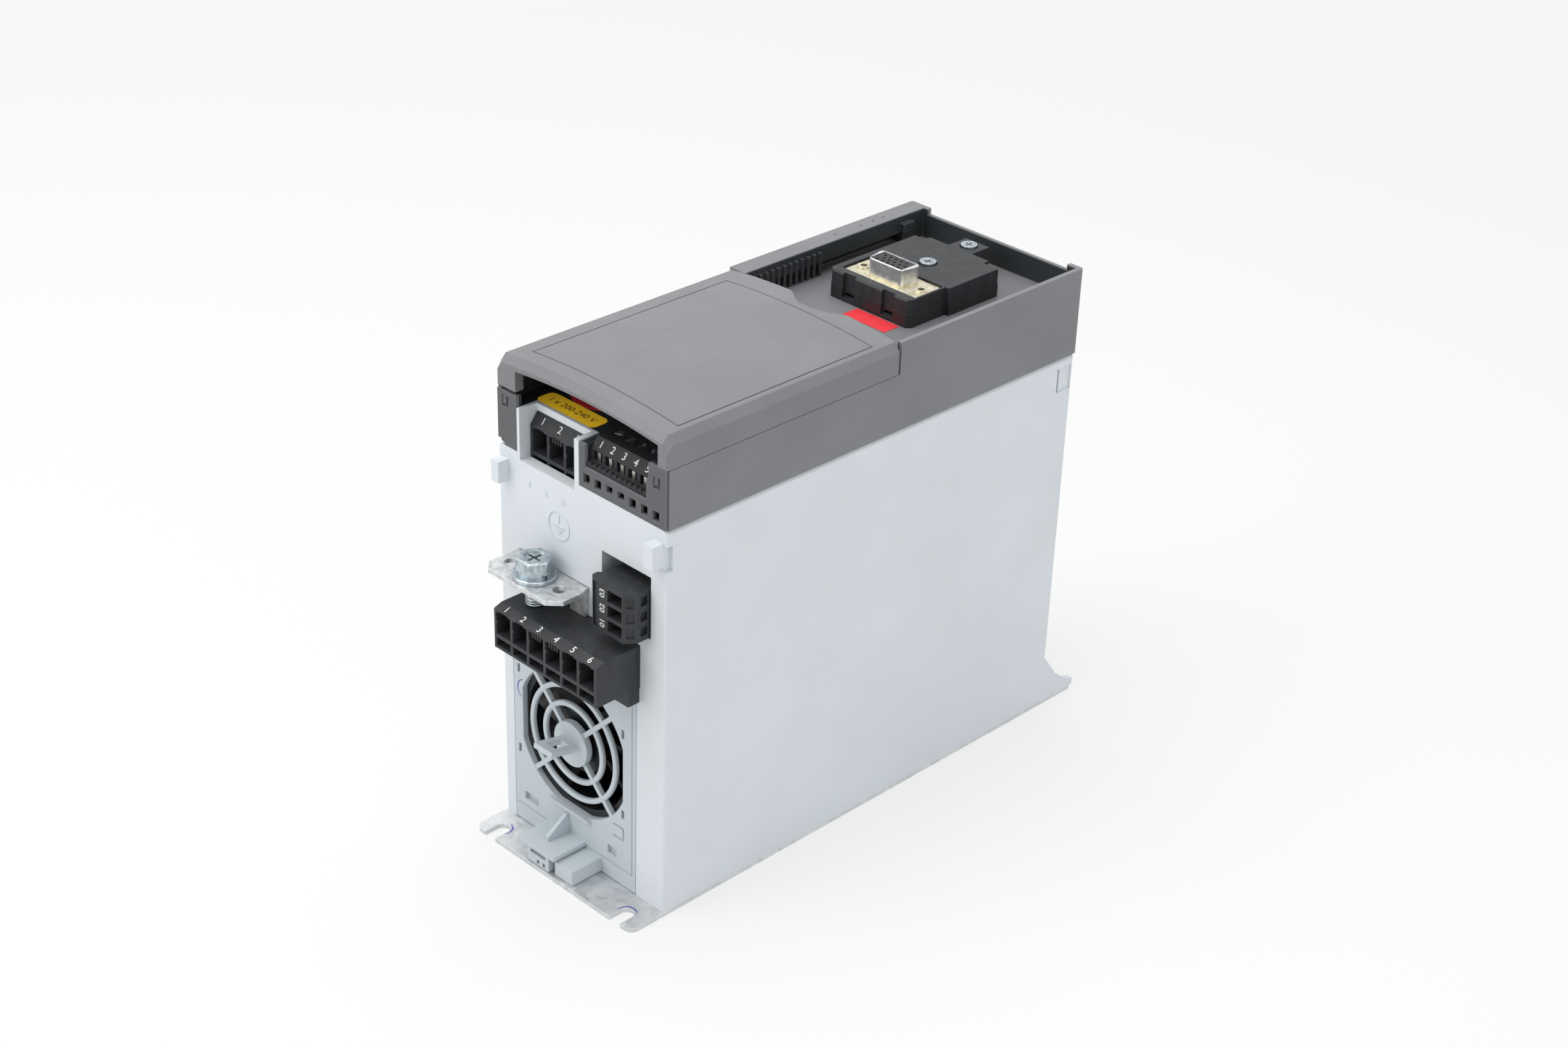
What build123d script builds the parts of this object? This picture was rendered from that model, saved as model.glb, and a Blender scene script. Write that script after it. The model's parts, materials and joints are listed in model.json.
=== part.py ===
from build123d import *
import os
from math import cos, radians, sin

os.makedirs("parts", exist_ok=True)

# A compact variable frequency drive lying on its back plate, in millimetres.
# X runs across the case, Y along it from the fan end to the far end, Z up from the back face.
# The origin is the centre of the mounting hole pattern, on the back face of the plate.

# Overall sizes
width = 75.0
body_length = 180.0
housing_height = 136.2
cover_seam = housing_height + 19.3
frame_height = housing_height + 29.9
cover_apex = cover_seam + 12.5

# Mounting plate
plate_length = body_length + 30.0
plate_sheet = 1.5
plate_corner = 3.0
hole_columns = 60.0
hole_radius = 2.5
slot_to_edge = 5.0
hole_to_far_edge = 7.0
hole_rows = plate_length - slot_to_edge - hole_to_far_edge
body_set_back = 13.3
plate_screw_columns = 44.0
plate_screw_rows = 110.0
plate_screw_radius = 2.0
plate_screw_head = 3.6
plate_screw_length = 10.0
plate_screw_socket = 1.1
upwards = (Align.CENTER, Align.CENTER, Align.MIN)

# Walls and clearances
wall = 2.0
face_wall = 2.6
frame_wall = 1.7
cover_wall = 1.8
corner_radius = 0.8
slip = 0.2
snug = 0.05
board = 1.6

half = width / 2
plate_start = -hole_rows / 2 - slot_to_edge
face = plate_start + body_set_back
tail = face + body_length
frame_tail = tail + 1.0

# Fan bay in the near wall, and the fan that it holds
fan_bay_left = -half + 4.7
fan_bay_right = half - 12.5
fan_bay_top = 73.0
fan_size = 50.0
fan_depth = 15.0
fan_bore = fan_size / 2 - 1.8
fan_tip = fan_bore - 0.8
fan_hub = 11.0
fan_cup = 9.4
fan_stator = 8.6
fan_shaft = 1.0
fan_bearing = 2.6
blade_count = 9
fan_x = fan_bay_left + 28.0
fan_z = 43.2
guard_opening = fan_size / 2 + 0.5
guard_flat_x = fan_size / 2 - 1.3
guard_flat_z = fan_size / 2 - 0.5
guard_wire = 0.9
guard_hub = 7.7
guard_rings = (guard_hub + 5.7, guard_opening - 5.9)
fan_post = 1.8
fan_post_inset = 4.0
fan_start = face + wall

# Terminal headers, pitch 7.62
header_pitch = 7.62
header_rib = 1.0
header_height = 14.7
header_depth = 14.0
motor_poles = 6
motor_left = -20.4
motor_bottom = 78.6
motor_reach = 17.0
mains_poles = 3
mains_left = -27.4
mains_bottom = housing_height - 5.3
mains_set_back = 4.2
mains_brow = 2.6

# Grey alcove around the mains header
alcove_left = -half + 8.8
alcove_right = -0.6
alcove_bottom = housing_height - 4.6
alcove_top = housing_height + 14.6
alcove_depth = 8.0
alcove_skin = 1.2

# Relay plug and the recess that it sits in
relay_pitch = 5.08
relay_poles = 3
relay_left = 12.8
relay_right = 30.6
relay_bottom = 97.9
relay_height = 16.6
relay_reach = 8.0
relay_recess_x = (9.5, 31.0)
relay_recess_z = (97.5, 118.5)
relay_recess_depth = 9.0

# Control plug
control_pitch = 5.0
control_poles = 5
control_centre = 15.4
control_bottom = housing_height + 7.3
control_height = 8.6
control_width = 26.2
control_depth = 15.0

# Earth bracket and bolt
bracket_z = 103.0
bracket_sheet = 1.5
bracket_left = -28.5
bracket_right = 4.6
bracket_reach = 14.8
bracket_hole_pitch = 22.4
bracket_hole = 2.1
bolt_x = -12.7
bolt_y = face - 7.2
bolt_shank = 3.0
bolt_across_flats = 10.0
washer_radius = 7.0
washer_top = bracket_z + 1.4
head_seat = washer_top + 1.2
head_top = head_seat + 4.2
thread_pitch = 0.9

# Front frame, bay and cover
cover_length = 94.7
cover_shoulder = cover_seam + 7.7
cover_edge = cover_seam + 10.5
cover_bevel = 2.0
cover_lip_side = cover_seam + 7.0
cover_lip_centre = cover_seam + 8.9
cover_mouth_left = -half + 8.4
cover_mouth_right = half - 4.1
cover_near_bevel = 2.0
near_drop = 2.6
groove = 0.45
groove_depth = 0.35
groove_left = -half + 8.0
groove_right = half - 3.9
groove_start = 7.5
groove_end = 86.5
deck_z = cover_seam - 5.1
deck_sheet = 1.6
bay_floor = cover_seam
bay_start = face + cover_length + 0.8
left_band = 6.8

# Adapter module and its serial socket
module_half = 18.5
module_start = face + 121.0
module_length = 43.0
module_split = bay_floor + 4.6
module_top = module_split + 4.9
socket_y = module_start + 10.2
socket_top = module_top + 5.5
socket_width = 16.3
socket_depth = 7.9
flange_top = module_top - 0.6
flange_sheet = 0.6
module_screw_radius = 1.5
flange_half = 15.4

# Inside: heat sink and boards
sink_start = fan_start + fan_depth + 10.0
sink_end = tail - 10.0
sink_half = half - wall - 4.0
sink_base = 8.0
sink_top = 68.0
fin_count = 13
fin = 1.6
power_board_top = motor_bottom
control_board_top = housing_height + 4.4
input_board_top = mains_bottom


def block(x, y, z, mode=Mode.ADD):
    """A box between two corners, given as (low, high) on each axis."""
    middle = ((x[0] + x[1]) / 2, (y[0] + y[1]) / 2, (z[0] + z[1]) / 2)
    with Locations(middle):
        Box(x[1] - x[0], y[1] - y[0], z[1] - z[0], mode=mode)


def cut(x, y, z):
    block(x, y, z, Mode.SUBTRACT)


def upright(x, y, z, radius, mode=Mode.ADD):
    """A cylinder along Z between two heights."""
    with Locations((x, y, (z[0] + z[1]) / 2)):
        Cylinder(radius, z[1] - z[0], mode=mode)


def level(x, y, z, radius, mode=Mode.ADD):
    """A cylinder along Y between two depths."""
    with Locations(Location((x, (y[0] + y[1]) / 2, z), (90, 0, 0))):
        Cylinder(radius, y[1] - y[0], mode=mode)


def keep(name, label):
    name.part.label = label
    export_step(name.part, f"parts/{label}.step")


def around(centre, size):
    return (centre - size / 2, centre + size / 2)


def mirrored(offset):
    return (-offset, offset)


# ---------------------------------------------------------------- back plate

with BuildPart() as mounting_plate:
    block(mirrored(half), (plate_start, plate_start + plate_length), (0, plate_sheet))
    fillet(mounting_plate.edges().filter_by(Axis.Z), plate_corner)
    for side in mirrored(hole_columns / 2):
        upright(side, -hole_rows / 2, (-1, plate_sheet + 1), hole_radius, Mode.SUBTRACT)
        cut(around(side, 2 * hole_radius), (plate_start - 1, -hole_rows / 2), (-1, plate_sheet + 1))
        upright(side, hole_rows / 2, (-1, plate_sheet + 1), hole_radius, Mode.SUBTRACT)
    with Locations(Plane.XY.rotated((180, 0, 0))):
        with GridLocations(plate_screw_columns, plate_screw_rows, 2, 2):
            CounterSinkHole(plate_screw_radius + snug, plate_screw_head + snug, plate_sheet)
keep(mounting_plate, "mounting_plate")

with BuildPart() as plate_screws:
    with GridLocations(plate_screw_columns, plate_screw_rows, 2, 2):
        Cylinder(plate_screw_radius, plate_screw_length, align=upwards)
        Cone(plate_screw_head, plate_screw_radius, plate_sheet, align=upwards)
        Cylinder(plate_screw_socket, plate_sheet * 2 / 3, align=upwards, mode=Mode.SUBTRACT)
keep(plate_screws, "plate_screws")


# ---------------------------------------------------------------- grey housing

vent_count = 9
vent_width = 4.0
vent_pitch = 6.6
vent_z = (12.0, 60.0)
foot_height = 18.5
foot_tip = 4.0
foot_wall = 2.4
foot_end = plate_start + plate_length - 0.6
side_bevel = 1.4
ledge = 1.6
hook_reach = 4.0
hook_z = housing_height - 12.2
hook_height = 7.9
earth_mark_x = -9.8
earth_mark_z = housing_height - 17.4
earth_mark_radius = 4.9
earth_mark_line = 0.5
catch_z = (housing_height - 12.2, housing_height - 3.6)
catch_y = (tail - 7.6, tail - 0.9)


def header_right(left, poles):
    return left + poles * header_pitch + header_rib - 0.1


with BuildPart() as housing:
    block(mirrored(half), (face, tail), (plate_sheet, housing_height))
    fillet(housing.edges().filter_by(Axis.Z), corner_radius)
    # Small bevel under the seam along both sides
    for side in (-1, 1):
        with BuildSketch(Plane.XZ.offset(-(tail + 1))):
            with BuildLine():
                Polyline((side * (half + slip), housing_height - side_bevel - slip),
                         (side * (half + slip), housing_height + slip),
                         (side * (half - side_bevel), housing_height + slip), close=True)
            make_face()
        extrude(amount=body_length + 2, mode=Mode.SUBTRACT)
    cut(mirrored(half - wall), (face + face_wall, tail - wall), (plate_sheet, housing_height))
    # Ledges along both sides carry the front frame
    for side in (-1, 1):
        inner = sorted((side * (half - wall - ledge), side * (half - wall)))
        block(inner, (face + 30, tail - 12), (housing_height - 2 * ledge, housing_height))
    # Fan bay, open down to the plate
    cut((fan_bay_left, fan_bay_right), (face - 1, face + face_wall + 1), (plate_sheet, fan_bay_top))
    # Motor header opening
    cut((motor_left - slip, header_right(motor_left, motor_poles) + slip), (face - 1, face + face_wall + 1),
        (motor_bottom - slip, motor_bottom + header_height + slip))
    # Relay plug recess, with its inner sleeve
    block((relay_recess_x[0] - 1.4, half - wall + 0.5), (face + face_wall, face + relay_recess_depth),
          (relay_recess_z[0] - 1.2, relay_recess_z[1] + 1.2))
    cut(relay_recess_x, (face - 1, face + relay_recess_depth + 0.5), relay_recess_z)
    # Alcove around the mains header, open at the top
    block((alcove_left, alcove_right), (face, face + alcove_depth), (mains_bottom - 3, alcove_top))
    cut((alcove_left + alcove_skin, alcove_right - 2.0), (face - 1, face + alcove_depth - alcove_skin),
        (alcove_bottom + 2.2, alcove_top + 1))
    cut((mains_left - slip, header_right(mains_left, mains_poles) + slip),
        (face + mains_set_back - slip, face + alcove_depth + 1),
        (mains_bottom - 4, mains_bottom + header_height + mains_brow + slip))
    # Slot that the earth bracket comes out of
    cut((bracket_left - slip, bracket_right - 1.2 + slip), (face - 1, face + face_wall + 1),
        (bracket_z - bracket_sheet - slip, bracket_z + slip))
    # Hooks for a cable clip, left and right of the near face
    block((-half + 1.2, -half + 4.6), (face - hook_reach, face), (hook_z + 1.0, hook_z + 0.2 + hook_height))
    block((half - 5.4, half - 1.4), (face - hook_reach, face), (hook_z, hook_z + hook_height))
    cut((half - 1.4, half + 1), (face - 1, face + 2.4), (hook_z - 1.4, hook_z + hook_height - 0.9))
    # Raised earth symbol: ring, stem and three bars
    level(earth_mark_x, (face - 0.25, face + 0.1), earth_mark_z, earth_mark_radius)
    level(earth_mark_x, (face - 1, face), earth_mark_z, earth_mark_radius - earth_mark_line, Mode.SUBTRACT)
    block(around(earth_mark_x, earth_mark_line), (face - 0.25, face), (earth_mark_z + 0.6, earth_mark_z + 3.4))
    for row, reach in enumerate((2.4, 1.6, 0.8)):
        block(around(earth_mark_x, 2 * reach), (face - 0.25, face),
              around(earth_mark_z - 0.2 - row * 1.1, earth_mark_line))
    # Air outlet slots in the far wall
    for i in range(vent_count):
        x = (i - (vent_count - 1) / 2) * vent_pitch
        cut(around(x, vent_width), (tail - wall - 1, tail + 1), vent_z)
    # Slot and shallow recess near the far corner
    for side in (-1, 1):
        cut(sorted((side * (half - 0.6), side * (half + 1))), catch_y, catch_z)
        cut(sorted((side * (half - wall - 1), side * (half + 1))), (catch_y[0], catch_y[0] + 1.4), catch_z)
    # Side gussets run out over the far end of the plate
    for side in (-1, 1):
        with BuildSketch(Plane.YZ.offset(min(side * half, side * (half - foot_wall)))):
            with BuildLine():
                Polyline((tail - 1, plate_sheet), (foot_end, plate_sheet), (foot_end, foot_tip),
                         (foot_end - 2.8, foot_tip + 0.6), (tail + 6, foot_tip + 6.4),
                         (tail, foot_height), (tail - 1, foot_height), close=True)
            make_face()
        extrude(amount=foot_wall)
keep(housing, "housing")


# ---------------------------------------------------------------- fan cassette

cover_left = fan_bay_left + slip
cover_right = fan_bay_right - slip
cover_floor = plate_sheet + slip
cover_top = fan_bay_top - slip
latch_z = 7.4
latch_left = fan_x - 11.2
latch_right = fan_x + 6.0
latch_reach = 13.2
snap_left = cover_left + 2.4
snap_right = cover_right - 6.0
fan_end = fan_start + fan_depth


def guard_ring(radius):
    """One round-edged ring of the finger guard, its front flush with the near face."""
    with BuildPart() as ring:
        level(fan_x, (face, face + 2 * guard_wire), fan_z, radius + guard_wire)
        level(fan_x, (face - 1, face + 2 * guard_wire + 1), fan_z, radius - guard_wire, Mode.SUBTRACT)
        fillet(ring.edges().filter_by(GeomType.CIRCLE), guard_wire * 0.7)
    return ring


with BuildPart() as fan_cover:
    block((cover_left, cover_right), (face, face + wall), (cover_floor, cover_top))
    # Fan opening, a circle with four flats
    with BuildSketch(Plane.XZ.offset(-face + 5)):
        with Locations((fan_x, fan_z)):
            Circle(guard_opening)
            Rectangle(2 * guard_flat_x, 2 * guard_flat_z, mode=Mode.INTERSECT)
    extrude(amount=-10, mode=Mode.SUBTRACT)
    # Finger guard: two rings, four spokes and a hub
    for radius in guard_rings:
        add(guard_ring(radius).part)
    for turn in (45, 135, 225, 315):
        reach = guard_opening + 1.2 - guard_hub + 1
        middle = guard_hub - 1 + reach / 2
        place = (fan_x + middle * cos(radians(turn)), face + guard_wire, fan_z + middle * sin(radians(turn)))
        with Locations(Location(place, (0, -turn, 0))):
            Box(reach, 2 * guard_wire - 0.2, 2 * guard_wire - 0.2)
    level(fan_x, (face - 0.7, face + 1.6), fan_z, guard_hub)
    # Pull tab standing out of the hub
    with Locations(Location((fan_x, face - 6.0, fan_z + 1.6), (-12, 0, 0))):
        Box(8.4, 12.0, 1.8)
        Box(4.0, 5.6, 3.0, mode=Mode.SUBTRACT)
    # Ledge under the opening
    block((fan_x - 10.2, fan_x + 8.7), (face - 1.4, face + 0.5),
          (fan_z - guard_flat_z - 1.1, fan_z - guard_flat_z))
    # Slots and small windows of the snap fingers
    for x, z in ((snap_left, 57.6), (snap_left, 27.6), (snap_right, 56.7), (snap_right, 27.0)):
        cut(around(x, 1.2), (face - 1, face + wall + 1), (z, z + 3.2))
    cut((cover_left + 4.5, cover_left + 11.0), (face - 1, face + 1.2), (10.4, 13.4))
    cut((cover_right - 13.0, cover_right - 8.9), (face - 1, face + 1.2), (10.7, 13.8))
    # Bracket-shaped groove
    for z in (18.6, 23.0):
        cut((snap_right - 4.3, snap_right + 0.5), (face - 1, face + 0.5), (z, z + 0.5))
    cut((snap_right, snap_right + 0.5), (face - 1, face + 0.5), (18.6, 23.5))
    # Fine border line
    cut((cover_left + 1.0, cover_right - 1.6), (face - 1, face + 0.3), (7.6, 7.9))
    cut((cover_right - 1.9, cover_right - 1.6), (face - 1, face + 0.3), (7.6, cover_top))
    # Latch tab over the plate, its fin and the block beside it
    block((latch_left, latch_right), (face - latch_reach, face + 0.5), (latch_z, latch_z + 1.5))
    block((latch_left + 4, latch_right - 3), (face - latch_reach + 0.4, face + 0.5), (cover_floor, latch_z))
    cut((latch_left + 5.5, latch_right - 4.5), (face - latch_reach - 1, face - 3), (5.2, 6.6))
    for x in (fan_x - 2.1, fan_x + 0.7):
        cut(around(x, 1.2), (face - latch_reach - 1, face - 10), (2.2, 3.8))
    with BuildSketch(Plane.YZ.offset(fan_x - 3.4)):
        with BuildLine():
            Polyline((face + 0.5, latch_z + 1), (face - 8.6, latch_z + 1), (face - 8.6, latch_z + 3.0),
                     (face - 0.4, latch_z + 8.4), (face + 0.5, latch_z + 8.4), close=True)
        make_face()
    extrude(amount=1.5)
    block((latch_right - 0.8, latch_right + 7.4), (face - 12.0, face + 0.5), (cover_floor, latch_z - 0.6))
    # Posts that locate the fan
    for dx in mirrored(fan_size / 2 - fan_post_inset):
        for dz in mirrored(fan_size / 2 - fan_post_inset):
            level(fan_x + dx, (face + wall - 0.5, fan_start + 6), fan_z + dz, fan_post)
keep(fan_cover, "fan_cover")

with BuildPart() as fan_frame:
    block(around(fan_x, fan_size), (fan_start, fan_end), around(fan_z, fan_size))
    fillet(fan_frame.edges().filter_by(Axis.Y), 3.0)
    level(fan_x, (fan_start - 1, fan_end + 1), fan_z, fan_bore, Mode.SUBTRACT)
    for dx in mirrored(fan_size / 2 - fan_post_inset):
        for dz in mirrored(fan_size / 2 - fan_post_inset):
            level(fan_x + dx, (fan_start - 1, fan_end + 1), fan_z + dz, fan_post + snug,
                  Mode.SUBTRACT)
    # Rear spider carries the motor
    for turn in (30, 150, 270):
        middle = (fan_bore + fan_stator) / 2
        place = (fan_x + middle * cos(radians(turn)), fan_end - 0.8, fan_z + middle * sin(radians(turn)))
        with Locations(Location(place, (0, -turn, 0))):
            Box(fan_bore - fan_stator + 2, 1.6, 2.4)
    level(fan_x, (fan_end - 1.6, fan_end), fan_z, fan_hub)
keep(fan_frame, "fan_frame")

with BuildPart() as fan_bearing_bush:
    level(fan_x, (fan_start + 3.0, fan_end - 1.6), fan_z, fan_bearing)
    level(fan_x, (fan_start, fan_end), fan_z, fan_shaft + snug, Mode.SUBTRACT)
keep(fan_bearing_bush, "fan_bearing_bush")

with BuildPart() as fan_stator_core:
    level(fan_x, (fan_start + 3.4, fan_end - 1.6), fan_z, fan_stator)
    level(fan_x, (fan_start, fan_end), fan_z, fan_bearing, Mode.SUBTRACT)
    for turn in (0, 90, 180, 270):
        across, above = fan_stator * cos(radians(turn)), fan_stator * sin(radians(turn))
        place = (fan_x + across, fan_start + 7, fan_z + above)
        with Locations(Location(place, (0, -turn, 0))):
            Box(3.6, 5.0, 4.0, mode=Mode.SUBTRACT)
keep(fan_stator_core, "fan_stator_core")

with BuildPart() as fan_rotor:
    level(fan_x, (fan_start + 1.0, fan_end - 2.4), fan_z, fan_hub)
    level(fan_x, (fan_start + 2.2, fan_end), fan_z, fan_cup, Mode.SUBTRACT)
    for i in range(blade_count):
        with Locations(Location((fan_x, fan_start + 6.4, fan_z), (0, i * 360 / blade_count, 0))):
            with Locations(Location(((fan_hub + fan_tip) / 2 - 0.4, 0, 0), (38, 0, 0))):
                Box(fan_tip - fan_hub + 0.4, 1.0, 12.0)
    # Trim the blade tips round, and leave the cup open
    level(fan_x, (fan_start + 0.4, fan_end - 2.0), fan_z, fan_tip, Mode.INTERSECT)
    level(fan_x, (fan_start + 2.2, fan_end), fan_z, fan_cup, Mode.SUBTRACT)
keep(fan_rotor, "fan_rotor")

with BuildPart() as fan_axle:
    level(fan_x, (fan_start + 2.2, fan_end - 2.0), fan_z, fan_shaft)
keep(fan_axle, "fan_axle")


# ---------------------------------------------------------------- terminal headers

def header_body(left, poles, front, bottom, rear, skirt=0.0, brow=0.0):
    """Pocket block of a pluggable header, cut for its poles."""
    right = header_right(left, poles)
    top = bottom + header_height
    with BuildPart() as body:
        with BuildSketch(Plane.YZ.offset(left)):
            with BuildLine():
                Polyline((front, bottom), (front, top - 1.1), (front + 3.0, top + brow), (rear, top + brow),
                         (rear, bottom), close=True)
            make_face()
        extrude(amount=right - left)
        if skirt:
            block((left, right), (front + motor_reach - 4.5, front + motor_reach - snug),
                  (bottom - skirt, bottom))
        for i in range(poles):
            low = left + header_rib + i * header_pitch - 0.1
            high = low + header_pitch - header_rib
            cut((low, high), (front - 1, front + header_depth), (bottom + 0.9, bottom + 3.8))
            cut((low, high), (front - 1, front + header_depth), (bottom + 5.0, top - 1.9))
            cut((low + 1.4, high - 1.4), (front - 1, front + header_depth), (top - 2.0, top - 1.5))
            # Nub half way up the pocket's left wall
            block((low - 0.2, low + 0.35), (front, front + 1.0), (bottom + 8.6, bottom + 9.6))
    return body


def header_combs(left, poles, front, top):
    """Coding ribs hanging under the top lip of the chosen poles."""
    for pole in poles:
        for rib in range(4):
            x = left + header_rib + pole * header_pitch + 1.5 + rib * 1.15
            block(around(x, 0.5), (front + 0.2, front + 3.0), (top - 3.6, top - 1.25))


motor_front = face - motor_reach
with BuildPart() as motor_header:
    add(header_body(motor_left, motor_poles, motor_front, motor_bottom, face + 8.0, skirt=5.1).part)
    header_combs(motor_left, (2, 3), motor_front, motor_bottom + header_height)
keep(motor_header, "motor_header")

mains_front = face + mains_set_back
mains_rear = mains_front + 19.0
with BuildPart() as mains_header:
    add(header_body(mains_left, mains_poles, mains_front, mains_bottom, mains_rear, brow=mains_brow).part)
    header_combs(mains_left, (1,), mains_front, mains_bottom + header_height)
keep(mains_header, "mains_header")


def contact_pins(left, poles, front, bottom):
    """Square contact pins standing in the pockets of a header."""
    for i in range(poles):
        x = left + header_rib + (i + 0.5) * header_pitch - 0.6
        block(around(x, 1.2), (front + header_depth - 6.0, front + header_depth), (bottom + 7.6, bottom + 8.8))


with BuildPart() as motor_contacts:
    contact_pins(motor_left, motor_poles, motor_front, motor_bottom)
keep(motor_contacts, "motor_contacts")

with BuildPart() as mains_contacts:
    contact_pins(mains_left, mains_poles, mains_front, mains_bottom)
keep(mains_contacts, "mains_contacts")


# ---------------------------------------------------------------- relay plug

relay_top = relay_bottom + relay_height
relay_front = face - relay_reach
relay_back = face + 6.0
with BuildPart() as relay_plug:
    with BuildSketch(Plane.XY.offset(relay_bottom)):
        with BuildLine():
            Polyline((relay_left, relay_front + 1.4), (relay_left + 1.6, relay_front),
                     (relay_right - 2.8, relay_front), (relay_right - 0.2, relay_front + 3.4),
                     (relay_right - 0.2, relay_back),
                     (relay_left + 1.2, relay_back), (relay_left + 1.2, face - 3.6),
                     (relay_left, face - 4.6), close=True)
        make_face()
    extrude(amount=relay_height)
    for i in range(relay_poles):
        low = relay_bottom + 1.2 + i * relay_pitch
        cut((relay_right - 9.6, relay_right - 3.4), (relay_front - 1, relay_front + 8), (low, low + 3.9))
        cut((relay_right - 1.4, relay_right + 1), (relay_front + 4.6, relay_front + 7.2),
            (low + 0.4, low + 3.5))
        with Locations(Location((relay_right - 1.5, relay_front + 1.7, low + 1.95), (0, 0, 52.6))):
            Box(2.4, 1.0, 3.3, mode=Mode.SUBTRACT)
    # Recessed strip down the left of the front
    cut((relay_left + 1.8, relay_left + 3.8), (relay_front - 1, relay_front + 0.7),
        (relay_bottom + 0.6, relay_top - 0.6))
keep(relay_plug, "relay_plug")

with BuildPart() as relay_clamps:
    for i in range(relay_poles):
        low = relay_bottom + 1.2 + i * relay_pitch
        block((relay_right - 7.6, relay_right - 4.4), (relay_front + 2.6, relay_front + 8),
              (low + 1.9, low + 2.6))
keep(relay_clamps, "relay_clamps")

with BuildPart() as relay_socket:
    block((relay_left + 1.4, relay_right - 0.4), (relay_back + 0.3, relay_back + 8), (relay_bottom, relay_top))
keep(relay_socket, "relay_socket")


# ---------------------------------------------------------------- earth bracket

with BuildPart() as earth_bracket:
    with BuildSketch(Plane.XY.offset(bracket_z - bracket_sheet)):
        with BuildLine():
            Polyline((bracket_left, face + face_wall + 0.8), (bracket_left, face - bracket_reach + 3),
                     (bracket_left + 3, face - bracket_reach), (bracket_right - 4, face - bracket_reach),
                     (bracket_right, face - bracket_reach + 4), (bracket_right, face - 3.5),
                     (bracket_right - 1.2, face - 1.2), (bracket_right - 1.2, face + face_wall + 0.8),
                     close=True)
        make_face()
    extrude(amount=bracket_sheet)
    for dx in mirrored(bracket_hole_pitch / 2):
        upright(bolt_x + dx, bolt_y, (bracket_z - 5, bracket_z + 1), bracket_hole, Mode.SUBTRACT)
    upright(bolt_x, bolt_y, (bracket_z - 5, bracket_z + 1), bolt_shank + snug, Mode.SUBTRACT)
    # Leg bent down against the case at the right
    block((bracket_right - 8.0, bracket_right - 1.2), (face - bracket_sheet, face),
          (bracket_z - 9.6, bracket_z - bracket_sheet + 0.2))
keep(earth_bracket, "earth_bracket")

with BuildPart() as earth_washer:
    upright(bolt_x, bolt_y, (bracket_z, washer_top), washer_radius)
    upright(bolt_x, bolt_y, (bracket_z, washer_top), bolt_shank + 2 * snug, Mode.SUBTRACT)
    chamfer(earth_washer.edges().filter_by(GeomType.CIRCLE).sort_by(SortBy.RADIUS)[-2:], 0.25)
keep(earth_washer, "earth_washer")

with BuildPart() as earth_spring_washer:
    upright(bolt_x, bolt_y, (washer_top, head_seat), bolt_across_flats / 2 + 0.3)
    upright(bolt_x, bolt_y, (washer_top, head_seat), bolt_shank + 2 * snug, Mode.SUBTRACT)
    cut((bolt_x, bolt_x + bolt_across_flats), around(bolt_y, 0.6), (washer_top - 0.2, head_seat + 0.2))
keep(earth_spring_washer, "earth_spring_washer")

with BuildPart() as earth_bolt:
    with BuildSketch(Plane.XY.offset(head_seat)):
        with Locations((bolt_x, bolt_y)):
            RegularPolygon(bolt_across_flats / 2, 6, major_radius=False)
    extrude(amount=head_top - head_seat)
    chamfer(earth_bolt.faces().sort_by(Axis.Z)[-1].edges(), 0.5)
    upright(bolt_x, bolt_y, (bracket_z - 9.0, head_seat), bolt_shank)
    for i in range(8):
        z = bracket_z - bracket_sheet - (i + 1) * thread_pitch
        with Locations(Location((bolt_x, bolt_y, z))):
            Torus(bolt_shank + 0.12, 0.28, mode=Mode.SUBTRACT)
    upright(bolt_x, bolt_y, (head_top - 0.5, head_top + 1), 3.4, Mode.SUBTRACT)
    with Locations((bolt_x, bolt_y, head_top - 1.2)):
        Box(5.6, 1.0, 1.6, mode=Mode.SUBTRACT)
        Box(1.0, 5.6, 1.6, mode=Mode.SUBTRACT)
keep(earth_bolt, "earth_bolt")


# ---------------------------------------------------------------- dark front frame

pocket_left = control_centre - control_width / 2 - slip
pocket_right = control_centre + control_width / 2 + slip
pocket_back = face + control_depth + 12
pillar = pocket_right + 0.8
floor_under = control_bottom - slip
post_columns = 54.0
post_rows = (face + 36, tail - 24)
bay_left = -half + left_band
rib_count = 12
rib_pitch = 2.7
window_z = (housing_height + 1.7, housing_height + 4.9)

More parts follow.
